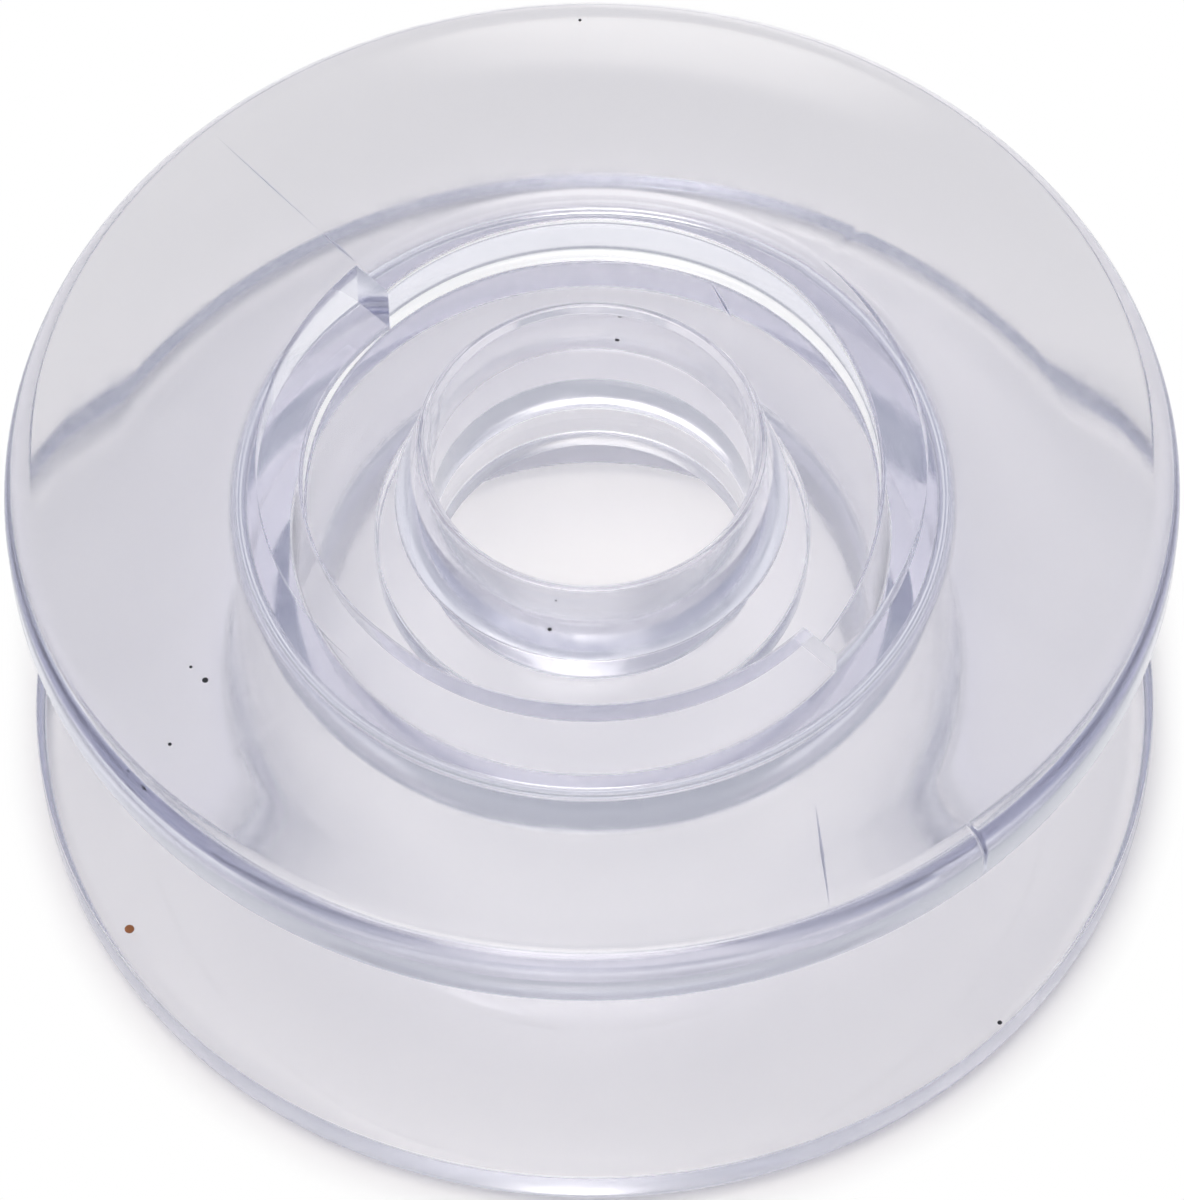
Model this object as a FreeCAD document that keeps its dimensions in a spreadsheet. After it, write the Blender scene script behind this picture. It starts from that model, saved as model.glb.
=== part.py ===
import FreeCAD, Part
import os
import Sketcher

# Clear moulded bobbin for a sewing machine, one piece.
# Frame: Z is the axis of the bobbin and the origin is the middle of the lower flange's face.

DIMENSIONS = {
    "spool_height": 8.5,
    "flange_radius": 10.25,
    "flange_thickness": 1.1,
    "flange_taper": 0.55,
    "rim_rounding": 0.5,
    "drum_radius": 6.05,
    "hollow_radius": 5.35,
    "hollow_chamfer": 0.4,
    "recess_radius": 5.05,
    "recess_depth": 1.2,
    "web_thickness": 2.05,
    "bore_radius": 2.85,
    "bore_chamfer": 0.1,
    "collar_top_wall": 0.2,
    "collar_foot_wall": 0.6,
    "collar_rise": 0.35,
    "pad_radius": 3.8,
    "pad_drop": 0.7,
    "ramp_width": 0.8,
    "ramp_depth": 1.1,
    "ramp_run": 90.0,
    "ramp_runout": 1.1,
    "ramp_overlap": 0.3,
    "ramp_count": 2.0,
    "ramp_step_angle": 135.0,
}
TOUCH = 1e-4


def make_sheet(doc):
    """Spreadsheet with one named cell for each driving dimension."""
    sheet = doc.addObject("Spreadsheet::Sheet", "Dimensions")
    for row, (name, value) in enumerate(DIMENSIONS.items(), start=1):
        sheet.set(f"A{row}", name)
        sheet.set(f"B{row}", str(value))
        sheet.setAlias(f"B{row}", name)
    doc.recompute()
    return sheet


def origin_feature(body, role):
    """Plane or axis of the body's own origin."""
    return next(feature for feature in body.Origin.OriginFeatures if feature.Role == role)


def level(*terms):
    """Expression that adds up signed cell names, such as "spool_height", "-flange_thickness"."""
    signed = [f"-Dimensions.{t[1:]}" if t.startswith("-") else f"+Dimensions.{t}" for t in terms]
    return "".join(signed).lstrip("+")


def section_sketch(body, name, corners, turn=None):
    """Closed straight-sided outline in a half plane through the axis, each corner (radius, height)."""
    sketch = body.newObject("Sketcher::SketchObject", name)
    sketch.AttachmentSupport = [(origin_feature(body, "XZ_Plane"), "")]
    sketch.MapMode = "FlatFace"
    if turn:
        start = FreeCAD.Rotation(FreeCAD.Vector(0, 1, 0), sketch.evalExpression(turn))
        sketch.AttachmentOffset = FreeCAD.Placement(FreeCAD.Vector(), start)
        sketch.setExpression("AttachmentOffset.Rotation.Angle", f"{turn} * 1 deg")
    places = [[sketch.evalExpression(e) if e else 0.0 for e in corner] for corner in corners]
    points = [FreeCAD.Vector(radius, height, 0) for radius, height in places]
    count = len(points)
    for index in range(count):
        sketch.addGeometry(Part.LineSegment(points[index], points[(index + 1) % count]))
    for index in range(count):
        sketch.addConstraint(Sketcher.Constraint("Coincident", index, 2, (index + 1) % count, 1))
    for index, (radius, height) in enumerate(corners):
        pin_corner(sketch, index, "DistanceX", radius, points[index].x, axis=-2)
        pin_corner(sketch, index, "DistanceY", height, points[index].y, axis=-1)
    return sketch


def pin_corner(sketch, index, kind, expression, value, axis):
    """Ties one coordinate of a corner to the sheet, or to the sketch axis where it has no expression."""
    if not expression:
        sketch.addConstraint(Sketcher.Constraint("PointOnObject", index, 1, axis))
        return
    place = sketch.addConstraint(Sketcher.Constraint(kind, -1, 1, index, 1, value))
    sketch.setExpression(f"Constraints[{place}]", expression)


def revolve(body, kind, name, sketch):
    """Full turn of a section about the bobbin's axis, added or cut."""
    feature = body.newObject(kind, name)
    feature.Profile = sketch
    feature.ReferenceAxis = (sketch, ["V_Axis"])
    feature.Angle = 360.0
    body.Document.recompute()
    return feature


def ring_edges(feature, radius, heights):
    """Names of the circular edges of one radius that lie at the given heights."""
    names = []
    for number, edge in enumerate(feature.Shape.Edges, start=1):
        curve = edge.Curve
        if not isinstance(curve, Part.Circle) or abs(curve.Radius - radius) > TOUCH:
            continue
        if any(abs(curve.Center.z - height) < TOUCH for height in heights):
            names.append(f"Edge{number}")
    return names


def dress(body, kind, name, base, radius, heights, prop, cell):
    """Fillet or chamfer on ring edges, its size bound to a cell."""
    feature = body.newObject(kind, name)
    feature.Base = (base, ring_edges(base, radius, heights))
    feature.setExpression(prop, f"Dimensions.{cell}")
    body.Document.recompute()
    return feature


def make_spool(body, sheet):
    """Two flanges with rounded rims on a drum."""
    section = section_sketch(body, "SpoolSection", [
        (None, None),
        (level("flange_radius"), None),
        (level("flange_radius"), level("flange_thickness")),
        (level("drum_radius"), level("flange_thickness", "flange_taper")),
        (level("drum_radius"), level("spool_height", "-flange_thickness", "-flange_taper")),
        (level("flange_radius"), level("spool_height", "-flange_thickness")),
        (level("flange_radius"), level("spool_height")),
        (level("bore_radius", "collar_foot_wall"), level("spool_height")),
        (level("bore_radius", "collar_foot_wall"), level("spool_height", "collar_rise")),
        (None, level("spool_height", "collar_rise")),
    ])
    spool = revolve(body, "PartDesign::Revolution", "Spool", section)
    outer_faces = [0.0, sheet.spool_height]
    return dress(body, "PartDesign::Fillet", "RimRounding", spool, sheet.flange_radius, outer_faces,
                 "Radius", "rim_rounding")


def cut_hub(body, sheet):
    """Hollow below the web, ring recess above it round a tapered collar, and the bore through the collar."""
    collar_top = level("spool_height", "collar_rise")
    recess_floor = level("spool_height", "-recess_depth")
    web_under = level("spool_height", "-recess_depth", "-web_thickness")
    pad_under = level("spool_height", "-recess_depth", "-web_thickness", "-pad_drop")
    hollow = section_sketch(body, "HollowSection", [
        (None, None),
        (level("hollow_radius"), None),
        (level("hollow_radius"), web_under),
        (level("pad_radius"), web_under),
        (level("pad_radius"), pad_under),
        (None, pad_under),
    ])
    hollowed = revolve(body, "PartDesign::Groove", "UnderHollow", hollow)
    dress(body, "PartDesign::Chamfer", "HollowLead", hollowed, sheet.hollow_radius, [0.0],
          "Size", "hollow_chamfer")
    recess = section_sketch(body, "RecessSection", [
        (level("bore_radius", "collar_foot_wall"), recess_floor),
        (level("recess_radius"), recess_floor),
        (level("recess_radius"), collar_top),
        (level("bore_radius", "collar_top_wall"), collar_top),
    ])
    revolve(body, "PartDesign::Groove", "RingRecess", recess)
    bore = section_sketch(body, "BoreSection", [
        (None, None),
        (level("bore_radius"), None),
        (level("bore_radius"), collar_top),
        (None, collar_top),
    ])
    bored = revolve(body, "PartDesign::Groove", "Bore", bore)
    ends = [bored.evalExpression(collar_top), bored.evalExpression(pad_under)]
    return dress(body, "PartDesign::Chamfer", "BoreLead", bored, sheet.bore_radius, ends,
                 "Size", "bore_chamfer")


def cut_ramps(body):
    """Driving ramps round the recess, evenly spaced: each starts at an upright step and climbs to the face."""
    ledge = section_sketch(body, "RampSection", [
        (level("recess_radius", "-ramp_overlap"), level("spool_height", "-ramp_depth")),
        (level("recess_radius", "ramp_width"), level("spool_height", "-ramp_depth")),
        (level("recess_radius", "ramp_width"), level("spool_height", "ramp_depth")),
        (level("recess_radius", "-ramp_overlap"), level("spool_height", "ramp_depth")),
    ], turn="Dimensions.ramp_step_angle")
    body.Document.recompute()
    climb = body.newObject("PartDesign::SubtractiveHelix", "RampClimb")
    climb.Profile = ledge
    climb.ReferenceAxis = (ledge, ["V_Axis"])
    climb.Mode = "height-turns-angle"
    climb.setExpression("Height", "Dimensions.ramp_depth * Dimensions.ramp_runout")
    climb.setExpression("Turns", "Dimensions.ramp_run * Dimensions.ramp_runout / 360")
    body.Document.recompute()
    ramps = body.newObject("PartDesign::PolarPattern", "Ramps")
    ramps.Originals = [climb]
    ramps.Axis = (origin_feature(body, "Z_Axis"), [""])
    ramps.Angle = 360.0
    ramps.setExpression("Occurrences", "Dimensions.ramp_count")
    body.Tip = ramps
    body.Document.recompute()
    return ramps


def check_document(doc, body):
    """Stops on a failed feature, an empty or invalid shape, or more than one solid."""
    failed = [obj.Name for obj in doc.Objects if {"Invalid", "Error"} & set(obj.State)]
    if failed:
        raise RuntimeError(f"features failed: {failed}")
    shape = body.Shape
    if shape.isNull() or not shape.isValid() or len(shape.Solids) != 1:
        raise RuntimeError("the bobbin is not one valid solid")


def main():
    doc = FreeCAD.newDocument("Bobbin")
    sheet = make_sheet(doc)
    body = doc.addObject("PartDesign::Body", "Bobbin")
    body.Label = "bobbin"
    body.Placement = FreeCAD.Placement()
    make_spool(body, sheet)
    before = cut_hub(body, sheet).Shape.Volume
    cut_ramps(body)
    check_document(doc, body)
    if not body.Shape.Volume < before:
        raise RuntimeError("the ramps cut nothing")
    os.makedirs("parts", exist_ok=True)
    body.Shape.exportStep(os.path.join("parts", f"{body.Label}.step"))
    box = body.Shape.optimalBoundingBox()
    size = f"{box.XLength:.2f} x {box.YLength:.2f} x {box.ZLength:.2f} mm"
    print(f"{body.Label}: {size}, {body.Shape.Volume:.1f} mm3")


main()
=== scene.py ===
import math

import bmesh
import bpy
from mathutils import Matrix, Vector


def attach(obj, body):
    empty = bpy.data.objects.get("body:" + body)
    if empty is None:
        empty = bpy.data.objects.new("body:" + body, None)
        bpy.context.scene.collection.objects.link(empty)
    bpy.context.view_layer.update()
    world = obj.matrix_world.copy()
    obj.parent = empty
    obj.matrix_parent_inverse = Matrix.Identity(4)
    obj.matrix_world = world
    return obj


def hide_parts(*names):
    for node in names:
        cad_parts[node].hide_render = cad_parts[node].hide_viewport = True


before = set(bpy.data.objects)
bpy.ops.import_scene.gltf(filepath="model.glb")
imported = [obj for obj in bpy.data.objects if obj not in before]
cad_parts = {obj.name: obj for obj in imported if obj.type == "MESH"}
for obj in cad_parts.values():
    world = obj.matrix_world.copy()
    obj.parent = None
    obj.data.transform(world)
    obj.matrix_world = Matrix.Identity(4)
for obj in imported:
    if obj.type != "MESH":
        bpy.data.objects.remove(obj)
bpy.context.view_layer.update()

# Lengths are in millimetres and angles in degrees, in the frame of the solid model.
MM = 0.001
SPOOL_HEIGHT = 8.5
FLANGE_RADIUS = 10.25
FLANGE_THICKNESS = 1.1
FLANGE_TAPER = 0.55
RIM_ROUNDING = 0.5
DRUM_RADIUS = 6.05
HOLLOW_RADIUS = 5.35
HOLLOW_CHAMFER = 0.4
RECESS_RADIUS = 5.05
RECESS_DEPTH = 1.2
WEB_THICKNESS = 2.05
BORE_RADIUS = 2.85
BORE_CHAMFER = 0.1
COLLAR_TOP_WALL = 0.2
COLLAR_FOOT_WALL = 0.6
COLLAR_RISE = 0.35
PAD_RADIUS = 3.8
PAD_DROP = 0.7
RAMP_WIDTH = 0.8
RAMP_DEPTH = 1.1
RAMP_RUN = 90.0
RAMP_COUNT = 2
RAMP_STEP_ANGLE = 135.0

# Fine shape that the solid model leaves sharp or straight.
EDGE_SOFTNESS = 0.05
LIP_SOFTNESS = 0.08
ROOT_SOFTNESS = 0.45
DISH_RADIUS = 8.9
DISH_RISE = 0.28
DISH_ROUNDING = 9.0

# Mesh: the upright step of a ramp takes up a small angle.
STEP_BREADTH = 0.1
COLUMNS = 288
ARC_STEPS = 8
ANGLE_DIGITS = 4
MERGE_DISTANCE = 1e-5
SHARP_ANGLE = 28.0

# Chip in the near rim of the top flange: its breadth is an angle to each side.
CHIP_ANGLE = -50.5
CHIP_BREADTH = 0.2
CHIP_DEPTH = 0.035
CHIP_REACH = 0.35
CHIP_STEPS = 4

# Dirt on the surfaces: place and radius of each speck.
SOOT_SPECKS = [
    ((-6.62, -4.51, 8.5), 0.055),
    ((-6.87, -4.24, 8.5), 0.03),
    ((-7.19, -5.78, 8.5), 0.035),
    ((-0.11, 9.59, 8.5), 0.03),
    ((0.48, 2.82, 8.0), 0.045),
    ((-0.76, -3.22, 7.95), 0.04),
    ((7.11, -7.25, 1.12), 0.045),
]
RUST_SPECKS = [
    ((-8.37, -5.25, 1.37), 0.09),
]
SPECK_FLATNESS = 0.5
SPECK_SEGMENTS = 10
SPECK_RINGS = 6

# Flow seams in the top flange and a hairline crack in the recess floor: start, end and breadth of each.
SEAMS = [
    ((-4.12, 4.2, 8.5), (-4.75, 4.88, 8.5), 0.07),
    ((-4.75, 4.88, 8.5), (-6.7, 7.08, 8.5), 0.03),
    ((3.67, -7.05, 8.5), (3.86, -9.18, 8.5), 0.06),
    ((2.2, 4.5, 7.3), (2.58, 3.65, 7.3), 0.05),
]
SEAM_HEIGHT = 0.02
SEAM_LIFT = 0.002

# Materials, with the places of the small ones in the mesh's list.
SOOT = 1
RUST = 2
SEAM = 3
WHITE = (1.0, 1.0, 1.0, 1.0)
PLASTIC_IOR = 1.58
PLASTIC_TINT = (0.66, 0.67, 0.84, 1.0)
TINT_DENSITY = 70.0
SCUFF_SCALE = 900.0
SCUFF_DETAIL = 2.0
SCUFF_ROUGHNESS = 0.65
SCUFF_LOW = 0.35
SCUFF_HIGH = 0.75
CLEAN_ROUGHNESS = 0.04
SCUFFED_ROUGHNESS = 0.14
WORN_START = 10.0
WORN_FULL = 10.22
WORN_ROUGHNESS = 0.08
SOOT_COLOUR = (0.02, 0.02, 0.025, 1.0)
RUST_COLOUR = (0.3, 0.11, 0.04, 1.0)
SEAM_COLOUR = (0.62, 0.63, 0.72, 1.0)
DIRT_ROUGHNESS = 0.8
SEAM_ROUGHNESS = 0.3

# Light, where 1 is white. No light is sampled directly.
FILL_LIGHT = (0.46, 0.475, 0.53, 1.0)
HORIZON_LIGHT = (0.6, 0.61, 0.64, 1.0)
HORIZON_RISE = 40.0
KEY_LIGHT = (4.4, 4.25, 4.0, 1.0)
KEY_LEAN = 19.0
KEY_SIDE = -8.0
KEY_INNER = 6.0
KEY_OUTER = 28.0
LIGHT_BOUNCES = 16

# Floor: painted shade, a zone round the object that reaches back behind it, where the white glow is held
# back so the lit floor shows darker round the object's real shadow; outside it the floor runs out to white
# between two distances.
FLOOR_HALF = 600.0
FLOOR_GAP = 0.1
FLOOR_COLOUR = (0.93, 0.915, 0.905, 1.0)
FLOOR_ROUGHNESS = 0.9
PAINTED_SHADE_REACH = 5.0
WHITE_START = 10.0
WHITE_FULL = 11.0

# Camera of the photograph.
CAMERA_ELEVATION = 57.07
CAMERA_ROLL = -0.74
CAMERA_DISTANCE = 109.87
CAMERA_TARGET = (-0.026, -2.742, 8.12)
CAMERA_LENS = 191.6
SENSOR_WIDTH = 36.0
CLIP_NEAR = 5.0
CLIP_FAR = 10000.0


def rounded(corners):
    """Closed outline whose corners (radius, height, rounding) become arcs where they have a rounding."""
    points = []
    count = len(corners)
    for index, (radius, height, rounding) in enumerate(corners):
        here = Vector((radius, height))
        if not rounding:
            points.append(here)
            continue
        back = (Vector(corners[index - 1][:2]) - here).normalized()
        ahead = (Vector(corners[(index + 1) % count][:2]) - here).normalized()
        half = back.angle(ahead) / 2
        centre = here + (back + ahead).normalized() * rounding / math.sin(half)
        start = here + back * rounding / math.tan(half) - centre
        sweep = start.angle_signed(here + ahead * rounding / math.tan(half) - centre)
        for step in range(ARC_STEPS + 1):
            points.append(centre + Matrix.Rotation(-sweep * step / ARC_STEPS, 2) @ start)
    return points


def section(drop):
    """Outline of the bobbin in a half plane through its axis, where the ramp lies drop below the face."""
    top = SPOOL_HEIGHT
    ramp_radius = RECESS_RADIUS + RAMP_WIDTH
    collar_top = top + COLLAR_RISE
    recess_floor = top - RECESS_DEPTH
    web_under = recess_floor - WEB_THICKNESS
    pad_under = web_under - PAD_DROP
    dish = FLANGE_THICKNESS + DISH_RISE
    root = FLANGE_THICKNESS + FLANGE_TAPER
    soft = EDGE_SOFTNESS
    return rounded([
        (HOLLOW_RADIUS + HOLLOW_CHAMFER, 0, soft),
        (FLANGE_RADIUS, 0, RIM_ROUNDING),
        (FLANGE_RADIUS, FLANGE_THICKNESS, soft),
        (DISH_RADIUS, dish, DISH_ROUNDING),
        (DRUM_RADIUS, root, ROOT_SOFTNESS),
        (DRUM_RADIUS, top - root, ROOT_SOFTNESS),
        (DISH_RADIUS, top - dish, DISH_ROUNDING),
        (FLANGE_RADIUS, top - FLANGE_THICKNESS, soft),
        (FLANGE_RADIUS, top, RIM_ROUNDING),
        (ramp_radius, top, 0),
        (ramp_radius, top - drop, 0),
        (RECESS_RADIUS, top - drop, LIP_SOFTNESS),
        (RECESS_RADIUS, recess_floor, soft),
        (BORE_RADIUS + COLLAR_FOOT_WALL, recess_floor, soft),
        (BORE_RADIUS + COLLAR_TOP_WALL, collar_top, soft),
        (BORE_RADIUS + BORE_CHAMFER, collar_top, soft),
        (BORE_RADIUS, collar_top - BORE_CHAMFER, soft),
        (BORE_RADIUS, pad_under + BORE_CHAMFER, soft),
        (BORE_RADIUS + BORE_CHAMFER, pad_under, soft),
        (PAD_RADIUS, pad_under, soft),
        (PAD_RADIUS, web_under, soft),
        (HOLLOW_RADIUS, web_under, soft),
        (HOLLOW_RADIUS, HOLLOW_CHAMFER, soft),
    ])


def ramp_drop(angle):
    """Depth of the driving ramp at an angle round the axis: an upright step, then a climb to the face."""
    past_step = (angle - RAMP_STEP_ANGLE) % (360.0 / RAMP_COUNT)
    return RAMP_DEPTH * max(1.0 - past_step / RAMP_RUN, 0.0)


def column_angles():
    """Angles of the mesh's columns: evenly round, one at each bend of the ramps, and more at the chip."""
    angles = [360.0 * index / COLUMNS for index in range(COLUMNS)]
    for index in range(RAMP_COUNT):
        step = RAMP_STEP_ANGLE + index * 360.0 / RAMP_COUNT
        angles += [step - STEP_BREADTH, step, step + RAMP_RUN]
    for index in range(-2 * CHIP_STEPS, 2 * CHIP_STEPS + 1):
        angles.append(CHIP_ANGLE + index * CHIP_BREADTH / CHIP_STEPS)
    return sorted({round(angle % 360.0, ANGLE_DIGITS) for angle in angles})


def chipped(point, angle):
    """Point of the outline, moved in where the top rim is chipped."""
    on_rim = point.x > FLANGE_RADIUS - CHIP_REACH and point.y > SPOOL_HEIGHT - FLANGE_THICKNESS / 2
    if not on_rim:
        return point
    away = (angle - CHIP_ANGLE + 180.0) % 360.0 - 180.0
    depth = CHIP_DEPTH * math.exp(-(away / CHIP_BREADTH) ** 2)
    return point - Vector((depth, depth))


def add_speck(build, place, radius, material):
    """Small flattened grain of dirt."""
    flat = Matrix.Translation(Vector(place) * MM) @ Matrix.Diagonal((1.0, 1.0, SPECK_FLATNESS, 1.0))
    grain = bmesh.ops.create_uvsphere(build, u_segments=SPECK_SEGMENTS, v_segments=SPECK_RINGS,
                                      radius=radius * MM, matrix=flat)
    for face in {face for vert in grain["verts"] for face in vert.link_faces}:
        face.material_index = material


def add_seam(build, start, end, breadth):
    """Fine three-sided ridge that runs out to a point at each end."""
    start = Vector(start) * MM
    end = Vector(end) * MM
    across = (end - start).cross(Vector((0, 0, 1))).normalized() * breadth / 2 * MM
    lift = Vector((0, 0, SEAM_LIFT * MM))
    crest = Vector((0, 0, SEAM_HEIGHT * MM))
    middle = (start + end) / 2
    tips = [build.verts.new(start + lift), build.verts.new(end + lift)]
    ring = [build.verts.new(middle + lift + offset) for offset in (across, crest, -across)]
    for index in range(len(ring)):
        for tip in tips:
            face = build.faces.new((tip, ring[index], ring[index - 1]))
            face.material_index = SEAM


def bobbin_mesh():
    """The moulding as a fine mesh, its outline turned about the axis, with its seams and dirt."""
    build = bmesh.new()
    columns = []
    for angle in column_angles():
        turn = Matrix.Rotation(math.radians(angle), 3, "Z")
        outline = [chipped(point, angle) for point in section(ramp_drop(angle))]
        columns.append([build.verts.new(turn @ Vector((p.x, 0, p.y)) * MM) for p in outline])
    for this, following in zip(columns, columns[1:] + columns[:1]):
        for index in range(len(this)):
            below = index - 1
            build.faces.new((this[below], following[below], following[index], this[index]))
    bmesh.ops.remove_doubles(build, verts=build.verts, dist=MERGE_DISTANCE * MM)
    for material, specks in ((SOOT, SOOT_SPECKS), (RUST, RUST_SPECKS)):
        for place, radius in specks:
            add_speck(build, place, radius, material)
    for start, end, breadth in SEAMS:
        add_seam(build, start, end, breadth)
    bmesh.ops.recalc_face_normals(build, faces=build.faces)
    mesh = bpy.data.meshes.new("bobbin_clear")
    build.to_mesh(mesh)
    build.free()
    mesh.polygons.foreach_set("use_smooth", [True] * len(mesh.polygons))
    mesh.set_sharp_from_angle(angle=math.radians(SHARP_ANGLE))
    return mesh


def node(tree, kind, **values):
    """New shader node with its sockets set by name."""
    made = tree.nodes.new(kind)
    for name, value in values.items():
        made.inputs[name.replace("_", " ")].default_value = value
    return made


def joined(tree, kind, operation, *inputs):
    """Result of a math node of one kind, each input a socket to link or a value."""
    made = tree.nodes.new(kind)
    made.operation = operation
    for place, value in enumerate(inputs):
        if isinstance(value, bpy.types.NodeSocket):
            tree.links.new(value, made.inputs[place])
        else:
            made.inputs[place].default_value = value
    return made.outputs["Value"] if operation in ("LENGTH", "DISTANCE", "DOT_PRODUCT") else made.outputs[0]


def number(tree, operation, *inputs):
    """Result of a math node on numbers."""
    return joined(tree, "ShaderNodeMath", operation, *inputs)


def vector(tree, operation, *inputs):
    """Result of a math node on vectors."""
    return joined(tree, "ShaderNodeVectorMath", operation, *inputs)


def fading(tree, value, full, none):
    """1 where the value is at full, 0 where it is at none, smooth between."""
    made = node(tree, "ShaderNodeMapRange", From_Min=none, From_Max=full)
    made.interpolation_type = "SMOOTHSTEP"
    tree.links.new(value, made.inputs["Value"])
    return made.outputs["Result"]


def blend(tree, share, below, above):
    """Colour mixed from below to above by a share, each a socket or a colour."""
    made = tree.nodes.new("ShaderNodeMix")
    made.data_type = "RGBA"
    tree.links.new(share, made.inputs["Factor"])
    ends = [socket for socket in made.inputs if socket.type == "RGBA"]
    for socket, value in zip(ends, (below, above)):
        if isinstance(value, bpy.types.NodeSocket):
            tree.links.new(value, socket)
        else:
            socket.default_value = value
    return next(socket for socket in made.outputs if socket.type == "RGBA")


def clear_plastic():
    """Clear plastic with a faint blue-lavender body tint, hazed by handling and worn at the rims."""
    material = bpy.data.materials.new("clear_plastic")
    material.use_nodes = True
    tree = material.node_tree
    shader = tree.nodes["Principled BSDF"]
    shader.inputs["Base Color"].default_value = WHITE
    shader.inputs["Transmission Weight"].default_value = 1.0
    shader.inputs["IOR"].default_value = PLASTIC_IOR
    place = tree.nodes.new("ShaderNodeTexCoord").outputs["Object"]
    radius = vector(tree, "LENGTH", vector(tree, "MULTIPLY", place, (1.0, 1.0, 0.0)))

    scuffs = node(tree, "ShaderNodeTexNoise", Scale=SCUFF_SCALE, Detail=SCUFF_DETAIL,
                  Roughness=SCUFF_ROUGHNESS)
    tree.links.new(place, scuffs.inputs["Vector"])
    haze = node(tree, "ShaderNodeMapRange", From_Min=SCUFF_LOW, From_Max=SCUFF_HIGH,
                To_Min=CLEAN_ROUGHNESS, To_Max=SCUFFED_ROUGHNESS)
    tree.links.new(scuffs.outputs["Fac"], haze.inputs["Value"])
    at_rim = fading(tree, radius, WORN_FULL * MM, WORN_START * MM)
    worn = number(tree, "MULTIPLY", at_rim, WORN_ROUGHNESS)
    tree.links.new(number(tree, "ADD", haze.outputs["Result"], worn), shader.inputs["Roughness"])

    tint = node(tree, "ShaderNodeVolumeAbsorption", Color=PLASTIC_TINT, Density=TINT_DENSITY)
    tree.links.new(tint.outputs["Volume"], tree.nodes["Material Output"].inputs["Volume"])
    return material


def plain_material(name, colour, roughness, transmission):
    """Small-area material for dirt and seams."""
    material = bpy.data.materials.new(name)
    material.use_nodes = True
    shader = material.node_tree.nodes["Principled BSDF"]
    shader.inputs["Base Color"].default_value = colour
    shader.inputs["Roughness"].default_value = roughness
    shader.inputs["Transmission Weight"].default_value = transmission
    return material


def pale_table_painted_shade():
    """Matt table with painted shade round and behind the object, where its white glow is held back;
    elsewhere it runs out to plain white, for what sees it and not as a light.
    """
    material = bpy.data.materials.new("pale_table_painted_shade")
    material.cycles.emission_sampling = "NONE"
    material.use_nodes = True
    tree = material.node_tree
    shader = tree.nodes["Principled BSDF"]
    shader.inputs["Base Color"].default_value = FLOOR_COLOUR
    shader.inputs["Roughness"].default_value = FLOOR_ROUGHNESS
    shader.inputs["Specular IOR Level"].default_value = 0.0
    glow = node(tree, "ShaderNodeEmission", Color=WHITE, Strength=1.0)
    place = tree.nodes.new("ShaderNodeTexCoord").outputs["Object"]
    split = tree.nodes.new("ShaderNodeSeparateXYZ")
    tree.links.new(place, split.inputs[0])
    # Painted shade: a zone round the object, stretched back behind it, where the floor gets no white glow
    # and so shows darker.
    behind = number(tree, "MINIMUM", number(tree, "MAXIMUM", split.outputs["Y"], 0.0), PAINTED_SHADE_REACH * MM)
    middle = tree.nodes.new("ShaderNodeCombineXYZ")
    tree.links.new(behind, middle.inputs["Y"])
    reach = vector(tree, "DISTANCE", place, middle.outputs["Vector"])
    outward = fading(tree, reach, WHITE_FULL * MM, WHITE_START * MM)
    path = tree.nodes.new("ShaderNodeLightPath")
    seen = path.outputs["Is Camera Ray"]
    for kind in ("Is Glossy Ray", "Is Transmission Ray"):
        seen = number(tree, "MAXIMUM", seen, path.outputs[kind])
    mix = tree.nodes.new("ShaderNodeMixShader")
    tree.links.new(number(tree, "MULTIPLY", seen, outward), mix.inputs["Fac"])
    tree.links.new(shader.outputs[0], mix.inputs[1])
    tree.links.new(glow.outputs[0], mix.inputs[2])
    tree.links.new(mix.outputs[0], tree.nodes["Material Output"].inputs["Surface"])
    return material


def floor_piece():
    """Square floor a hair below the lower flange."""
    mesh = bpy.data.meshes.new("floor")
    half = FLOOR_HALF * MM
    corners = [(-half, -half, 0), (half, -half, 0), (half, half, 0), (-half, half, 0)]
    mesh.from_pydata(corners, [], [(0, 1, 2, 3)])
    mesh.materials.append(pale_table_painted_shade())
    floor = bpy.data.objects.new("floor", mesh)
    floor.location.z = -FLOOR_GAP * MM
    bpy.context.scene.collection.objects.link(floor)


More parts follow.
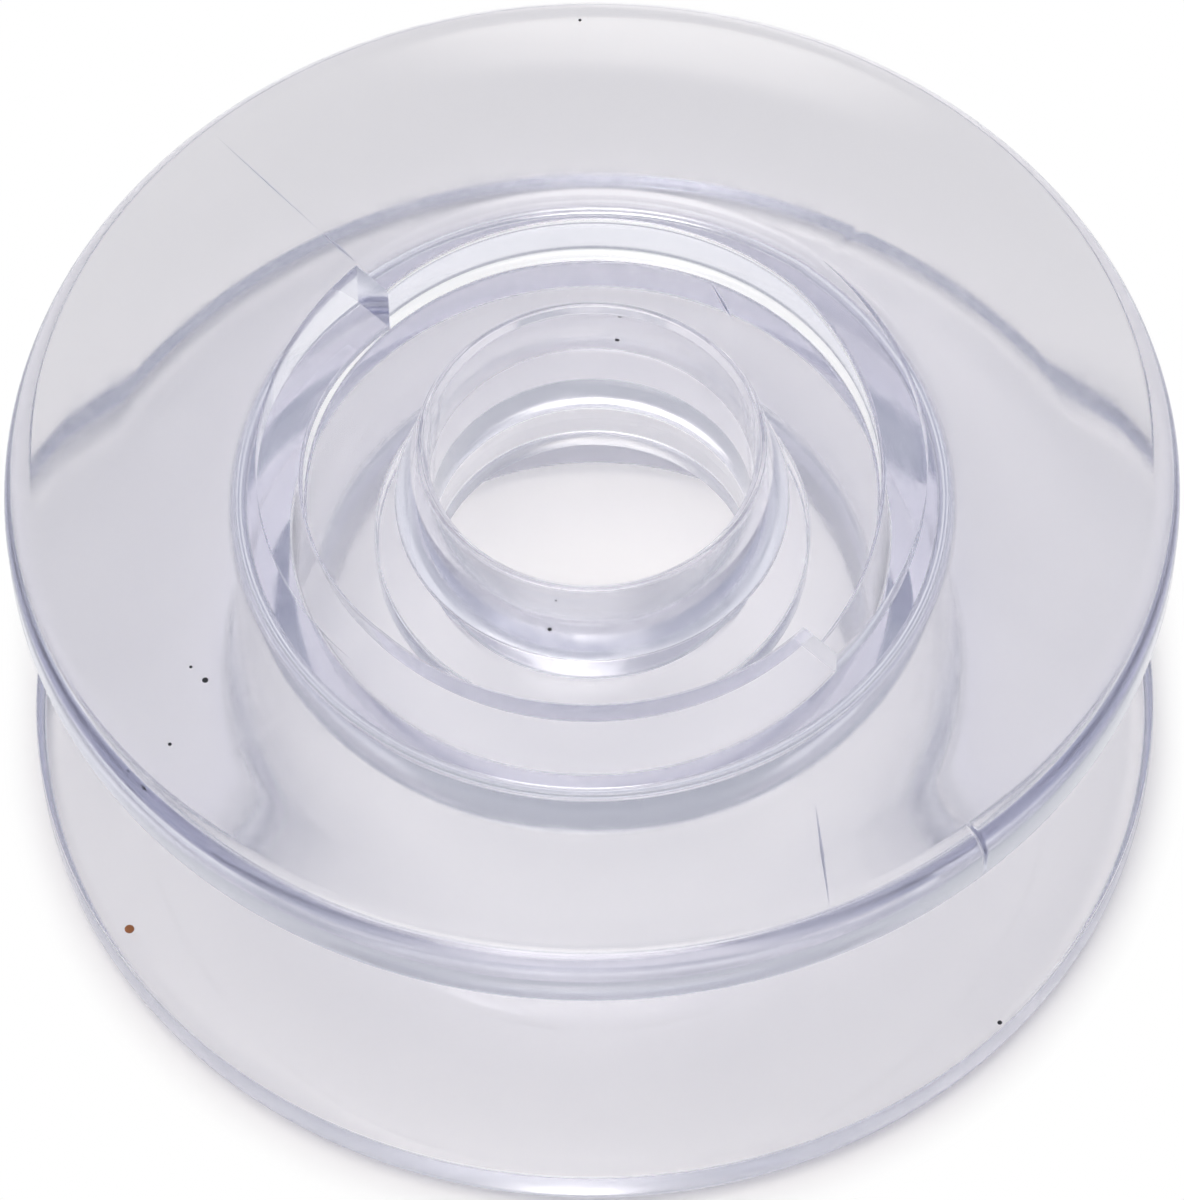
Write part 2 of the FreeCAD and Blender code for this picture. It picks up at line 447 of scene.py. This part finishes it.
def soft_light():
    """Even fill from all round and a large soft light overhead, leaning towards the camera's side."""
    world = bpy.data.worlds.new("soft_studio")
    bpy.context.scene.world = world
    world.use_nodes = True
    world.cycles.sampling_method = "NONE"
    tree = world.node_tree
    background = tree.nodes["Background"]
    background.inputs["Strength"].default_value = 1.0
    lean = math.radians(KEY_LEAN)
    side = math.radians(KEY_SIDE)
    direction = tree.nodes.new("ShaderNodeTexCoord").outputs["Generated"]
    overhead = Vector((math.tan(side), -math.tan(lean), 1.0)).normalized()
    facing = vector(tree, "DOT_PRODUCT", direction, overhead)
    rise = vector(tree, "DOT_PRODUCT", direction, (0.0, 0.0, 1.0))
    low = fading(tree, rise, 0.0, math.sin(math.radians(HORIZON_RISE)))
    lobe = fading(tree, facing, math.cos(math.radians(KEY_INNER)), math.cos(math.radians(KEY_OUTER)))
    fill = blend(tree, low, FILL_LIGHT, HORIZON_LIGHT)
    tree.links.new(blend(tree, lobe, fill, KEY_LIGHT), background.inputs["Color"])


def photo_camera():
    """Camera at the photograph's place, with its roll and lens."""
    rise = math.radians(CAMERA_ELEVATION)
    roll = math.radians(CAMERA_ROLL)
    look = Vector((0, math.cos(rise), -math.sin(rise)))
    level_up = Vector((0, math.sin(rise), math.cos(rise)))
    level_right = Vector((1, 0, 0))
    right = level_right * math.cos(roll) + level_up * math.sin(roll)
    up = level_up * math.cos(roll) - level_right * math.sin(roll)
    data = bpy.data.cameras.new("photo_camera")
    data.lens = CAMERA_LENS
    data.sensor_width = SENSOR_WIDTH
    data.clip_start = CLIP_NEAR * MM
    data.clip_end = CLIP_FAR * MM
    camera = bpy.data.objects.new("photo_camera", data)
    place = Matrix((right, up, -look)).transposed().to_4x4()
    place.translation = (Vector(CAMERA_TARGET) - look * CAMERA_DISTANCE) * MM
    camera.matrix_world = place
    bpy.context.scene.collection.objects.link(camera)
    bpy.context.scene.camera = camera


scene = bpy.context.scene
scene.view_settings.view_transform = "Standard"
scene.cycles.max_bounces = LIGHT_BOUNCES
scene.cycles.transmission_bounces = LIGHT_BOUNCES
scene.cycles.glossy_bounces = LIGHT_BOUNCES
scene.cycles.blur_glossy = 0.0

bobbin = bpy.data.objects.new("bobbin_clear", bobbin_mesh())
scene.collection.objects.link(bobbin)
bobbin.data.materials.append(clear_plastic())
bobbin.data.materials.append(plain_material("soot", SOOT_COLOUR, DIRT_ROUGHNESS, 0.0))
bobbin.data.materials.append(plain_material("rust", RUST_COLOUR, DIRT_ROUGHNESS, 0.0))
bobbin.data.materials.append(plain_material("seam", SEAM_COLOUR, SEAM_ROUGHNESS, 1.0))
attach(bobbin, "root")
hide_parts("bobbin")
floor_piece()
soft_light()
photo_camera()
